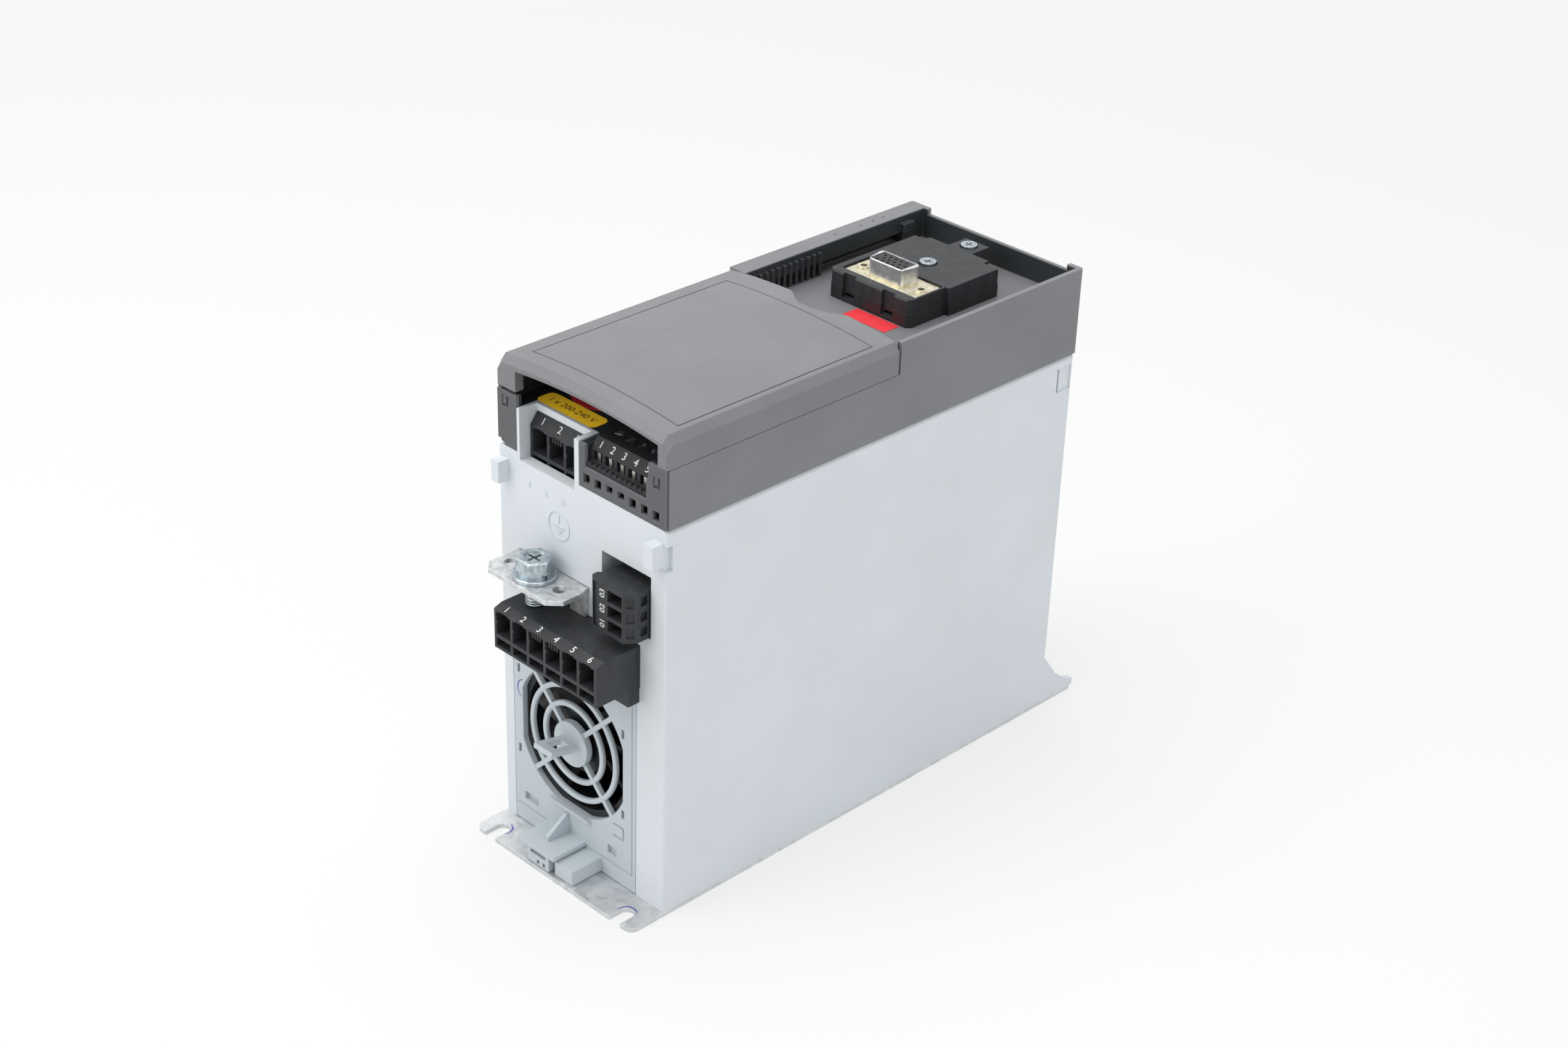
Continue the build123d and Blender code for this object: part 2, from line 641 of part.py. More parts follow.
with BuildPart() as front_frame:
    # Low walls under the cover and full walls round the bay
    block(mirrored(half), (face, bay_start), (housing_height, cover_seam))
    block(mirrored(half), (bay_start, frame_tail), (housing_height, frame_height))
    fillet(front_frame.edges().filter_by(Axis.Z).group_by(Axis.Y)[-1], corner_radius)
    fillet(front_frame.edges().filter_by(Axis.Z).group_by(Axis.Y)[0], corner_radius)
    # Hollow underneath, leaving the deck and the bay floor
    cut(mirrored(half - frame_wall), (face + frame_wall, bay_start - frame_wall),
        (housing_height, deck_z - deck_sheet))
    cut(mirrored(half - frame_wall), (bay_start - frame_wall, tail - wall),
        (housing_height, bay_floor - frame_wall))
    # Terminal compartment and bay from above
    cut(mirrored(half - frame_wall), (face - 1, bay_start - frame_wall), (deck_z, cover_seam + 1))
    cut((bay_left, half - frame_wall), (bay_start, frame_tail - frame_wall), (bay_floor, frame_height + 1))
    cut((-half + frame_wall, half - frame_wall), (bay_start + 14, frame_tail - frame_wall - 10),
        (bay_floor, frame_height - 6))
    cut((bay_left + 1.8, half - 5.5), (frame_tail - frame_wall - 1, frame_tail + 1),
        (frame_height - 2.1, frame_height + 1))
    # Mains alcove passes through the near wall and the deck
    cut((alcove_left - slip, alcove_right + slip), (face - 1, face + alcove_depth + slip),
        (housing_height - 1, cover_seam + 1))
    cut((mains_left - slip, header_right(mains_left, mains_poles) + slip), (face - 1, mains_rear + slip),
        (housing_height - 1, mains_bottom + header_height + mains_brow + slip))
    # Control plug pocket with its own floor
    block((pocket_left - 1.2, pillar), (face, pocket_back), (floor_under - 1.5, deck_z))
    cut((pocket_left, pocket_right), (face - 1, pocket_back - 1.2), (floor_under, cover_seam + 1))
    # Corner columns that the cover's legs stand on
    block((-half, alcove_left - slip), (face, face + 2.2), (housing_height, cover_seam - 1.0))
    block((pillar, half), (face, face + 2.2), (housing_height, cover_seam))
    cut((half - 0.8, half + 1), (face - 1, face + 0.8), (housing_height - 1, cover_seam + 1))
    # Strip of square holes below the plug
    for i in range(7):
        x = 2.8 + i * control_pitch
        low = window_z[0] + (0.8 if i in (2, 3) else 0.0)
        cut(around(x, 2.9), (face - 1, face + frame_wall + 0.6), (low, window_z[1]))
    # U-shaped slots of the cover's snap hooks
    for x, z in ((-half + 3.6, housing_height + 13.0), (half - 4.5, housing_height + 12.1)):
        cut(around(x, 3.0), (face - 1, face + 0.9), (z, z + 3.8))
        block(around(x - 0.3, 1.3), (face + 0.1, face + 1.0), (z + 1.0, z + 3.9))
    # Left column steps back beside the alcove
    cut((-half - 1, -half + 3.0), (face - 1, face + 1.2),
        (housing_height - 1, housing_height + 1.8))
    # Ribs on the inside of the bay's left wall
    for i in range(rib_count):
        block((bay_left - 1.4, bay_left + 0.8), around(bay_start + 4 + i * rib_pitch, 1.1),
              (bay_floor, frame_height - 2.2))
    block((bay_left - 0.5, bay_left + 1.6), (tail - 12, tail - 7), (frame_height - 5.5, frame_height - 2.6))
    for y in (40, 28, 22, 17):
        upright(-half + 3.5, tail - y, (frame_height - 0.5, frame_height + 1), 0.45, Mode.SUBTRACT)
    # Posts that carry the control board
    for x in mirrored(post_columns / 2):
        upright(x, post_rows[0], (control_board_top, deck_z - 0.4), 2.8)
        upright(x, post_rows[1], (control_board_top, bay_floor - 0.4), 2.8)
        for y in post_rows:
            upright(x, y, (control_board_top - 1, control_board_top + 7), 1.2, Mode.SUBTRACT)
keep(front_frame, "front_frame")


# ---------------------------------------------------------------- terminal cover

def cover_outline(side, drop, thin=0.0):
    """Cross-section of the cover, crowned and bevelled, lowered by drop and thinner on top by thin."""
    foot = cover_foot - thin
    shoulder = cover_shoulder - drop - thin / 2
    edge = cover_edge - drop - thin
    Polyline((-side, foot), (side, foot), (side, shoulder), (side - cover_bevel, edge))
    ThreePointArc((side - cover_bevel, edge), (0, cover_apex - drop - thin), (cover_bevel - side, edge))
    Polyline((cover_bevel - side, edge), (-side, shoulder), (-side, foot))


def cover_groove():
    """Rectangular line round the top, of one depth below the crown."""
    low = (groove_left, face + groove_start)
    high = (groove_right, face + groove_end)
    middle = ((low[0] + high[0]) / 2, (low[1] + high[1]) / 2)
    with BuildPart() as ring:
        with BuildSketch(Plane.XY.offset(cover_shoulder)):
            with Locations(middle):
                Rectangle(high[0] - low[0] + groove, high[1] - low[1] + groove)
                Rectangle(high[0] - low[0] - groove, high[1] - low[1] - groove, mode=Mode.SUBTRACT)
        extrude(amount=10)
        with BuildSketch(Plane.XZ.offset(-(face + 1))):
            with BuildLine():
                cover_outline(half, groove_depth)
            make_face()
        extrude(amount=-cover_length, mode=Mode.SUBTRACT)
    return ring


cover_foot = cover_seam + slip
cover_end = face + cover_length
with BuildPart() as terminal_cover:
    with BuildSketch(Plane.XZ.offset(-(face + cover_near_bevel))):
        with BuildLine():
            cover_outline(half, 0)
        make_face()
    extrude(amount=-(cover_length - cover_near_bevel))
    with BuildSketch(Plane.XZ.offset(-face)):
        with BuildLine():
            cover_outline(half - 0.3, near_drop)
        make_face()
    with BuildSketch(Plane.XZ.offset(-(face + cover_near_bevel))):
        with BuildLine():
            cover_outline(half, 0)
        make_face()
    loft(ruled=True)
    # Hollow inside, from the near wall to the inner end wall
    with BuildSketch(Plane.XZ.offset(-(face + cover_near_bevel + 1.2))):
        with BuildLine():
            cover_outline(half - cover_wall, 0, cover_wall)
        make_face()
    extrude(amount=-(cover_length - cover_near_bevel - 1.2 - 7.5), mode=Mode.SUBTRACT)
    # Mouth over the terminals, with a curved lip
    with BuildSketch(Plane.XZ.offset(-face + 1)):
        with BuildLine():
            Polyline((cover_mouth_left, cover_lip_side), (cover_mouth_left, cover_foot - 1),
                     (cover_mouth_right, cover_foot - 1), (cover_mouth_right, cover_lip_side))
            ThreePointArc((cover_mouth_right, cover_lip_side), (0, cover_lip_centre),
                          (cover_mouth_left, cover_lip_side))
        make_face()
    extrude(amount=-(cover_near_bevel + 3), mode=Mode.SUBTRACT)
    # Under the far overhang
    cut(mirrored(half - cover_wall), (cover_end - 6.0, cover_end + 1), (cover_foot - 1, cover_shoulder - 0.6))
    # Finger notch in the far edge
    with BuildSketch(Plane.XY.offset(cover_foot - 1)):
        with BuildLine():
            Spline((-11, cover_end + 0.5), (-7, cover_end - 1.2), (-3, cover_end - 4.0), (3, cover_end - 4.9),
                   (9, cover_end - 3.8), (13, cover_end - 1.2), (17, cover_end + 0.5))
            Polyline((17, cover_end + 0.5), (17, cover_end + 4), (-11, cover_end + 4), (-11, cover_end + 0.5))
        make_face()
    extrude(amount=20, mode=Mode.SUBTRACT)
    # Fine outline groove in the top
    add(cover_groove().part, mode=Mode.SUBTRACT)
keep(terminal_cover, "terminal_cover")


# ---------------------------------------------------------------- control plug

control_top = control_bottom + control_height
control_front = face + 0.6
control_left = control_centre - control_width / 2
control_right = control_centre + control_width / 2
with BuildPart() as control_plug:
    with BuildSketch(Plane.YZ.offset(control_left)):
        with BuildLine():
            Polyline((control_front, control_bottom), (control_front, control_bottom + 1.6),
                     (control_front + 1.6, control_bottom + 1.9), (control_front + 1.6, control_top - 3.2),
                     (control_front + 4.4, control_top), (face + control_depth, control_top),
                     (face + control_depth, control_bottom), close=True)
        make_face()
    extrude(amount=control_width)
    for i in range(control_poles):
        x = control_centre + (i - (control_poles - 1) / 2) * control_pitch
        cut(around(x, 3.6), (control_front - 1, control_front + 9), (control_bottom + 2.0, control_top - 3.4))
        upright(x, control_front + 9.4, (control_top - 1.4, control_top + 1), 1.7, Mode.SUBTRACT)
    for i in range(11):
        cut(around(control_left + 2.2 + i * 2.18, 0.5), (control_front - 1, control_front + 1.2),
            (control_bottom + 0.9, control_bottom + 1.8))
keep(control_plug, "control_plug")

with BuildPart() as control_clamps:
    for i in range(control_poles):
        x = control_centre + (i - (control_poles - 1) / 2) * control_pitch
        block(around(x - 0.4, 1.3), (control_front + 2.4, control_front + 9),
              (control_bottom + 2.0, control_bottom + 4.4))
keep(control_clamps, "control_clamps")

with BuildPart() as control_plug_screws:
    for i in range(control_poles):
        x = control_centre + (i - (control_poles - 1) / 2) * control_pitch
        upright(x, control_front + 9.4, (control_top - 1.4, control_top - 0.3), 1.55)
        with Locations(Location((x, control_front + 9.4, control_top - 0.4), (0, 0, 20 + 37 * i))):
            Box(2.8, 0.45, 0.7, mode=Mode.SUBTRACT)
keep(control_plug_screws, "control_plug_screws")

with BuildPart() as control_socket:
    block((control_left, control_right), (face + control_depth + 0.3, pocket_back - 1.2),
          (floor_under, control_top - 0.6))
keep(control_socket, "control_socket")


# ---------------------------------------------------------------- labels

label_sheet = 0.15
with BuildPart() as supply_label:
    with BuildSketch(Plane.XY.offset(deck_z)):
        with Locations((-17.3, face + alcove_depth + 4.0)):
            RectangleRounded(26.0, 7.2, 2.2)
    extrude(amount=label_sheet)
keep(supply_label, "supply_label")

with BuildPart() as warning_disc:
    upright(-18.2, face + alcove_depth + 19.8, (deck_z, deck_z + label_sheet), 12.0)
keep(warning_disc, "warning_disc")

with BuildPart() as bay_label:
    block((-4.5, 13.7), (module_start - 7.4, module_start - 0.6), (bay_floor, bay_floor + label_sheet))
keep(bay_label, "bay_label")


# ---------------------------------------------------------------- adapter module

module_end = module_start + module_length
screw_near = (0.0, module_start + 26.9)
screw_far = (-0.6, module_start + 47.4)
screw_seat = module_top - 1.0
latch_notches = (-9.5, 7.5)
module_outline = [
    (-module_half + 1.5, module_start), (module_half - 3.0, module_start),
    (module_half - 1.5, module_start + 1.5), (module_half - 1.5, module_start + 17),
    (module_half, module_start + 17), (module_half, module_end - 2.5),
    (12, module_end - 2.5), (12, module_end), (4.6, module_end), (4.6, module_end + 8.6),
    (-5.6, module_end + 8.6), (-5.6, module_end), (-14, module_end),
    (-14, module_end - 2.5), (-module_half, module_end - 2.5),
    (-module_half, module_start + 1.5)]

with BuildPart() as module_base:
    with BuildSketch(Plane.XY.offset(bay_floor)):
        with BuildLine():
            Polyline(*module_outline, close=True)
        make_face()
    extrude(amount=module_split - bay_floor)
    for x, y in (screw_near, screw_far):
        upright(x, y, (bay_floor, module_split), module_screw_radius + 2 * snug, Mode.SUBTRACT)
    for x in latch_notches:
        cut(around(x, 5.2), (module_start - 1, module_start + 1.0), (bay_floor + 1.2, module_split + 1))
        cut(around(x, 4.0), (module_start - 1, module_start + 3.0), (bay_floor + 1.6, bay_floor + 2.8))
keep(module_base, "module_base")

with BuildPart() as module_lid:
    with BuildSketch(Plane.XY.offset(module_split)):
        with BuildLine():
            Polyline(*[(x * 0.985, max(y, module_start + slip)) for x, y in module_outline], close=True)
        make_face()
    extrude(amount=module_top - module_split)
    chamfer(module_lid.faces().sort_by(Axis.Z)[-1].edges().sort_by(Axis.Y)[0], 0.6)
    cut(mirrored(flange_half + 0.6), around(socket_y, 13.2), (flange_top - flange_sheet, module_top + 1))
    cut(mirrored(socket_width / 2 + 1.2), (socket_y - 5.0, socket_y + 5.0), (module_split, module_top + 1))
    for x, y in (screw_near, screw_far):
        upright(x, y, (module_split, module_top + 1), module_screw_radius + 2 * snug, Mode.SUBTRACT)
        upright(x, y, (screw_seat, module_top + 1), 3.1, Mode.SUBTRACT)
    for x in latch_notches:
        cut(around(x, 5.2), (module_start - 1, module_start + 1.2), (module_split - 1, module_top + 1))
keep(module_lid, "module_lid")


def pan_screw(place, seat, length):
    """A cross-recessed pan head screw, head down to its seat height."""
    x, y = place
    upright(x, y, (seat - length, seat), module_screw_radius)
    upright(x, y, (seat, seat + 1.7), 2.75)
    with Locations((x, y, seat + 1.7)):
        Box(3.2, 0.7, 1.6, mode=Mode.SUBTRACT)
        Box(0.7, 3.2, 1.6, mode=Mode.SUBTRACT)


with BuildPart() as module_screws:
    for place in (screw_near, screw_far):
        pan_screw(place, screw_seat, screw_seat - bay_floor)
keep(module_screws, "module_screws")

with BuildPart() as serial_flange:
    block(mirrored(flange_half), around(socket_y, 12.4), (flange_top - flange_sheet, flange_top))
    fillet(serial_flange.edges().filter_by(Axis.Z), 1.2)
    with BuildSketch(Plane.XY.offset(flange_top)) as shell:
        with Locations((0, socket_y)):
            Trapezoid(socket_width + 0.6, socket_depth, 80, rotation=180)
        fillet(shell.vertices(), 1.4)
    extrude(amount=socket_top - flange_top)
    fillet(serial_flange.faces().sort_by(Axis.Z)[-1].edges(), 0.3)
    cut(mirrored(socket_width / 2 - 1.3), around(socket_y, socket_depth - 0.9),
        (flange_top - 1, socket_top + 1))
    for x in mirrored(12.5):
        upright(x, socket_y, (flange_top, flange_top + 0.5), 2.1)
        upright(x, socket_y, (flange_top - 1, flange_top + 2), 1.2, Mode.SUBTRACT)
keep(serial_flange, "serial_flange")

with BuildPart() as serial_insert:
    block(mirrored(socket_width / 2 - 1.4), around(socket_y, socket_depth - 1.1),
          (module_split, socket_top - 0.35))
    for row in range(3):
        for i in range(5):
            x = (i - 2) * 2.29 + (0.57 if row % 2 else -0.57)
            y = socket_y + (row - 1) * 1.98
            upright(x, y, (socket_top - 4, socket_top + 1), 0.55, Mode.SUBTRACT)
keep(serial_insert, "serial_insert")


# ---------------------------------------------------------------- inside the case

fin_pitch = (2 * sink_half - fin) / (fin_count - 1)
with BuildPart() as heat_sink:
    block(mirrored(sink_half), (sink_start, sink_end), (sink_top - sink_base, sink_top))
    for i in range(fin_count):
        x = -sink_half + fin / 2 + i * fin_pitch
        block(around(x, fin), (sink_start, sink_end), (plate_sheet, sink_top - sink_base / 2))
    for x in mirrored(plate_screw_columns / 2):
        for y in mirrored(plate_screw_rows / 2):
            upright(x, y, (plate_sheet, sink_top - 2), 5.0)
            upright(x, y, (plate_sheet - 1, 14), plate_screw_radius + snug, Mode.SUBTRACT)
keep(heat_sink, "heat_sink")

board_half = half - wall - 2.0
board_start = face + 3.4
board_end = tail - wall - 3
sink_screw_rows = (sink_start + 12, sink_end - 12)
with BuildPart() as power_board:
    block(mirrored(board_half), (board_start, board_end), (power_board_top - board, power_board_top))
    for x in mirrored(board_half - 5):
        for y in sink_screw_rows:
            upright(x, y, (power_board_top - 5, power_board_top + 1), 1.7, Mode.SUBTRACT)
keep(power_board, "power_board")

with BuildPart() as board_standoffs:
    for x in mirrored(board_half - 5):
        for y in sink_screw_rows:
            upright(x, y, (sink_top, power_board_top - board), 2.8)
            upright(x, y, (sink_top, power_board_top), 1.55, Mode.SUBTRACT)
keep(board_standoffs, "board_standoffs")

with BuildPart() as board_screws:
    for x in mirrored(board_half - 5):
        for y in sink_screw_rows:
            upright(x, y, (power_board_top - board - 4, power_board_top), 1.5)
            upright(x, y, (power_board_top, power_board_top + 1.8), 2.8)
keep(board_screws, "board_screws")

with BuildPart() as power_module:
    block(mirrored(22), (face + 62, face + 104), (sink_top, power_board_top - board))
keep(power_module, "power_module")

with BuildPart() as dc_capacitors:
    for x in mirrored(14.5):
        upright(x, face + 132, (power_board_top, power_board_top + 46), 12.5)
    fillet(dc_capacitors.edges().filter_by(GeomType.CIRCLE).group_by(Axis.Z)[-1], 1.2)
keep(dc_capacitors, "dc_capacitors")

with BuildPart() as filter_chokes:
    for y in (face + 34, face + 66):
        with Locations(Location((-15, y, power_board_top + 14.5), (0, 90, 0))):
            Cylinder(14.5, 12)
            Cylinder(6.5, 14, mode=Mode.SUBTRACT)
keep(filter_chokes, "filter_chokes")

with BuildPart() as filter_capacitor:
    block((2, 12), (face + 30, face + 56), (power_board_top, power_board_top + 20))
keep(filter_capacitor, "filter_capacitor")

with BuildPart() as precharge_relay:
    block((2, 17), (face + 62, face + 82), (power_board_top, power_board_top + 16))
keep(precharge_relay, "precharge_relay")

with BuildPart() as supply_transformer:
    block((4, 26), (face + 88, face + 112), (power_board_top, power_board_top + 4))
    block((4, 26), (face + 88, face + 112), (power_board_top + 16, power_board_top + 20))
    block((9, 21), (face + 93, face + 107), (power_board_top + 4, power_board_top + 16))
keep(supply_transformer, "supply_transformer")

with BuildPart() as relay_board:
    block((relay_right - 0.4, relay_right - 0.4 + board), (relay_back + 4, relay_back + 26),
          (power_board_top, relay_top + 8))
keep(relay_board, "relay_board")

with BuildPart() as input_board:
    block((-board_half, -1.0), (face + alcove_depth + 1.0, face + 60),
          (input_board_top - board, input_board_top))
keep(input_board, "input_board")

with BuildPart() as input_board_posts:
    for x in (-board_half + 3.5, -5.0):
        upright(x, face + 56, (power_board_top, input_board_top - board), 2.4)
    upright(-board_half + 3.5, face + 13, (power_board_top, input_board_top - board), 2.4)
keep(input_board_posts, "input_board_posts")

with BuildPart() as riser_board:
    block((-board_half, -board_half + board), (face + 74, face + 130),
          (power_board_top, control_board_top - board))
keep(riser_board, "riser_board")

with BuildPart() as control_board:
    block(mirrored(board_half), (pocket_back + 2, board_end), (control_board_top - board, control_board_top))
    for x in mirrored(post_columns / 2):
        for y in post_rows:
            upright(x, y, (control_board_top - 3, control_board_top + 1), 1.4, Mode.SUBTRACT)
keep(control_board, "control_board")

with BuildPart() as control_board_screws:
    for x in mirrored(post_columns / 2):
        for y in post_rows:
            upright(x, y, (control_board_top - board, control_board_top + 6), 1.15)
            upright(x, y, (control_board_top - board - 1.6, control_board_top - board), 2.4)
keep(control_board_screws, "control_board_screws")
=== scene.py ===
import json
import random
from math import cos, pi, radians, sin

import bmesh
import bpy
from mathutils import Matrix, Vector


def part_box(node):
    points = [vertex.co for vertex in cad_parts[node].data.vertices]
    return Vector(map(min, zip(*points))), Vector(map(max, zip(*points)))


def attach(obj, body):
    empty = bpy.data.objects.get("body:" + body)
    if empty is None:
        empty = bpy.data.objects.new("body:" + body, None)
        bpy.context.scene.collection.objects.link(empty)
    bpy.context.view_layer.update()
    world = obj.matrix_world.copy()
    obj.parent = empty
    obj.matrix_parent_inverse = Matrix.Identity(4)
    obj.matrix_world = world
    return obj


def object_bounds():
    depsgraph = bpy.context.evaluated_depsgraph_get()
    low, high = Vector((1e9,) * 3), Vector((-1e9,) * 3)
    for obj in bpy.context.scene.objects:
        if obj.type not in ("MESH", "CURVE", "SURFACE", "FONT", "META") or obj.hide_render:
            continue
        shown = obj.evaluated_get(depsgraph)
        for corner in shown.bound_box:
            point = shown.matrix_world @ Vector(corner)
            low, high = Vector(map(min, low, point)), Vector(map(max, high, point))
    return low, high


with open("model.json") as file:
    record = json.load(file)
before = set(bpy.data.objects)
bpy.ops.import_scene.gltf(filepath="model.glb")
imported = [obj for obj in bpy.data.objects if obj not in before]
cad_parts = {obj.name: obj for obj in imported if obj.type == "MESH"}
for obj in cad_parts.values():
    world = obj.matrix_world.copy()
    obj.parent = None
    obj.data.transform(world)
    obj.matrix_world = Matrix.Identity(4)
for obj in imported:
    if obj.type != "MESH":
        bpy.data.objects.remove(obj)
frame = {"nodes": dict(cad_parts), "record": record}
cad_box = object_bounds()
MM = 0.001
X_AXIS, Y_AXIS, Z_AXIS = Vector((1, 0, 0)), Vector((0, 1, 0)), Vector((0, 0, 1))

# How the pieces are laid out, where the frame's boxes don't say it
TAB_REACH = 4.0 * MM            # the housing's near tabs, out from its near face
FRAME_SKIN = 1.2 * MM           # inside this depth the frame is its inner side
FRAME_RIM = 0.4 * MM            # left grey round the top and foot of the bay's walls
NEAR_STRIP = 3.2 * MM           # depth of the frame's near strip, darkened as painted shade
FLANGE_SHEET = 1.2 * MM
HEADER_PITCH = 7.62 * MM
HEADER_WALL = 0.9 * MM
RELAY_PITCH = 5.08 * MM
RELAY_FIRST = 3.15 * MM         # height of the lowest wire entry in the relay plug
RELAY_FIGURES = 6.0 * MM        # from the relay plug's left side to its numbers
CONTROL_PITCH = 5.0 * MM
CONTROL_LEDGE = 1.6 * MM        # flat in front of the control plug's sloped strip
CONTROL_RISE = 3.2 * MM
CONTROL_RUN = 2.8 * MM
SLOT_COLUMN = 30.0 * MM
SLOT_TO_EDGE = 5.0 * MM

# Print and pen
INK = 0.03 * MM
MOULDED = 0.35 * MM
FIGURE_HEIGHT = 2.3 * MM
RELAY_FIGURE_HEIGHT = 2.1 * MM
RATING_HEIGHT = 2.5 * MM
CAP_SHARE = 0.7                 # of the type's own size
PEN_RADIUS = 3.0 * MM
PEN_WOBBLE = 0.12
PEN_STEPS = 15
SLOT_PEN = 0.55 * MM
COVER_PEN = 0.5 * MM

# Room
FLOOR_LEVEL = 226
FLOOR_GLOW = 0.62
FLOOR_RADIUS = 6.0
FADE_START, FADE_END = 0.35, 1.6
ROOM_LEVEL = 0.62
SEEN_WHITE = 0.965


# ---------------------------------------------------------------- shader maths

class Value:
    """A shader socket that adds Math nodes where it stands in an expression."""

    def __init__(self, finish, socket):
        self.finish = finish
        self.socket = socket

    def maths(self, operation, *terms):
        inputs = dict(enumerate(terms))
        return self.finish.node("ShaderNodeMath", {"operation": operation}, inputs)

    def __add__(self, other):
        return self.maths("ADD", self, other)

    __radd__ = __add__

    def __sub__(self, other):
        return self.maths("SUBTRACT", self, other)

    def __rsub__(self, other):
        return self.maths("SUBTRACT", other, self)

    def __mul__(self, other):
        return self.maths("MULTIPLY", self, other)

    __rmul__ = __mul__

    def __gt__(self, other):
        return self.maths("GREATER_THAN", self, other)

    def __lt__(self, other):
        return self.maths("LESS_THAN", self, other)

    def step(self, low, high):
        """0 below low, 1 above high, and smooth between."""
        settings = {"interpolation_type": "SMOOTHSTEP"}
        inputs = {"Value": self, "From Min": low, "From Max": high}
        return self.finish.node("ShaderNodeMapRange", settings, inputs)


class Finish:
    """One material: nodes are added by node(), and surface() ends it."""

    def __init__(self, name, **constants):
        self.material = bpy.data.materials.new(name)
        self.material.use_nodes = True
        self.tree = self.material.node_tree
        self.shader = self.tree.nodes["Principled BSDF"]
        for word, value in constants.items():
            self.shader.inputs[word.replace("_", " ")].default_value = value

    def node(self, kind, settings=None, inputs=None, output=0):
        node = self.tree.nodes.new(kind)
        for word, value in (settings or {}).items():
            setattr(node, word, value)
        for word, value in (inputs or {}).items():
            self.feed(node.inputs[word], value)
        return Value(self, node.outputs[output])

    def feed(self, socket, value):
        if isinstance(value, Value):
            self.tree.links.new(value.socket, socket)
        else:
            socket.default_value = value

    def place(self):
        """Position in the object's own frame, in metres."""
        return self.node("ShaderNodeTexCoord", output="Object")

    def along(self, axis):
        """One coordinate of the position."""
        return self.node("ShaderNodeSeparateXYZ", inputs={0: self.place()}, output=axis)

    def facing(self, axis):
        """One coordinate of the surface's own normal."""
        normal = self.node("ShaderNodeTexCoord", output="Normal")
        return self.node("ShaderNodeSeparateXYZ", inputs={0: normal}, output=axis)

    def stretched(self, stretch):
        """Position scaled by one factor each way."""
        return self.node("ShaderNodeVectorMath", {"operation": "MULTIPLY"}, {0: self.place(), 1: stretch})

    def noise(self, size_mm, detail=3.0, rough=0.5, at=None):
        """Noise whose blotches are about size_mm across."""
        inputs = {"Vector": at or self.place(), "Scale": 1000.0 / size_mm,
                  "Detail": detail, "Roughness": rough}
        return self.node("ShaderNodeTexNoise", None, inputs)

    def cells(self, size_mm, output="Distance", feature="F1", at=None):
        """Cells about size_mm across."""
        inputs = {"Vector": at or self.place(), "Scale": 1000.0 / size_mm}
        return self.node("ShaderNodeTexVoronoi", {"feature": feature}, inputs, output)

    def mix(self, factor, first, second):
        """Colour that goes from first to second as factor goes from 0 to 1."""
        inputs = {0: factor, 6: first, 7: second}
        return self.node("ShaderNodeMix", {"data_type": "RGBA"}, inputs, 2)

    def edges(self, radius_mm):
        """0 on a flat, and up to 1 where the surface turns within radius_mm; the finishes mix a lighter
        colour in by it, a painted highlight along each edge.
        """
        rounded = self.node("ShaderNodeBevel", {"samples": 4}, {"Radius": radius_mm * MM})
        flat = self.node("ShaderNodeNewGeometry", output="Normal")
        match = self.node("ShaderNodeVectorMath", {"operation": "DOT_PRODUCT"},
                          {0: rounded, 1: flat}, "Value")
        return (1.0 - match).step(0.02, 0.3)

    def patchy(self, mask, colour, dark, bright):
        """Colour that wanders between a darker and a brighter shade of itself."""
        return self.mix(mask, shade(colour, dark), shade(colour, bright))

    def bump(self, height, depth_mm, strength=1.0, radius_mm=0.0):
        """Bumps of the given height in mm, over edges rounded to radius_mm."""
        inputs = {"Height": height, "Distance": depth_mm * MM, "Strength": strength}
        if radius_mm:
            inputs["Normal"] = self.node("ShaderNodeBevel", {"samples": 4}, {"Radius": radius_mm * MM})
        return self.node("ShaderNodeBump", None, inputs)

    def surface(self, **inputs):
        for word, value in inputs.items():
            self.feed(self.shader.inputs[word.replace("_", " ")], value)
        return self.material


def tone(red, green, blue):
    """Screen levels 0-255 as a linear colour."""
    linear = [(level / 255 + 0.055) ** 2.4 / 1.055 ** 2.4 if level > 10 else level / 255 / 12.92
              for level in (red, green, blue)]
    return (*linear, 1.0)


def shade(colour, factor):
    return (*(channel * factor for channel in colour[:3]), 1.0)


def either(first, second):
    """1 where either mask is 1."""
    return first.maths("MAXIMUM", first, second)


# ------------------------------------------------------------------- finishes

def case_plastic(name, grey):
    """Light bluish grey moulding with a fine spark-eroded texture."""
    finish = Finish(name, Specular_IOR_Level=0.42)
    grain = finish.noise(0.32, 2.0)
    cloud = finish.noise(26.0, 2.0)
    rub = finish.noise(6.0, 6.0, 0.7, finish.stretched((1.0, 0.35, 1.0)))
    colour = finish.patchy(cloud.step(0.3, 0.7), grey, 0.975, 1.02)
    colour = finish.mix(grain.step(0.35, 0.65) * 0.28, colour, shade(grey, 0.87))
    # Painted highlight: a lighter grey along each edge.
    colour = finish.mix(finish.edges(0.45) * 0.5, colour, shade(grey, 1.12))
    rough = 0.44 + 0.12 * grain - 0.1 * rub.step(0.56, 0.74)
    return finish.surface(Base_Color=colour, Roughness=rough, Normal=finish.bump(grain, 0.05, 0.5, 0.3))


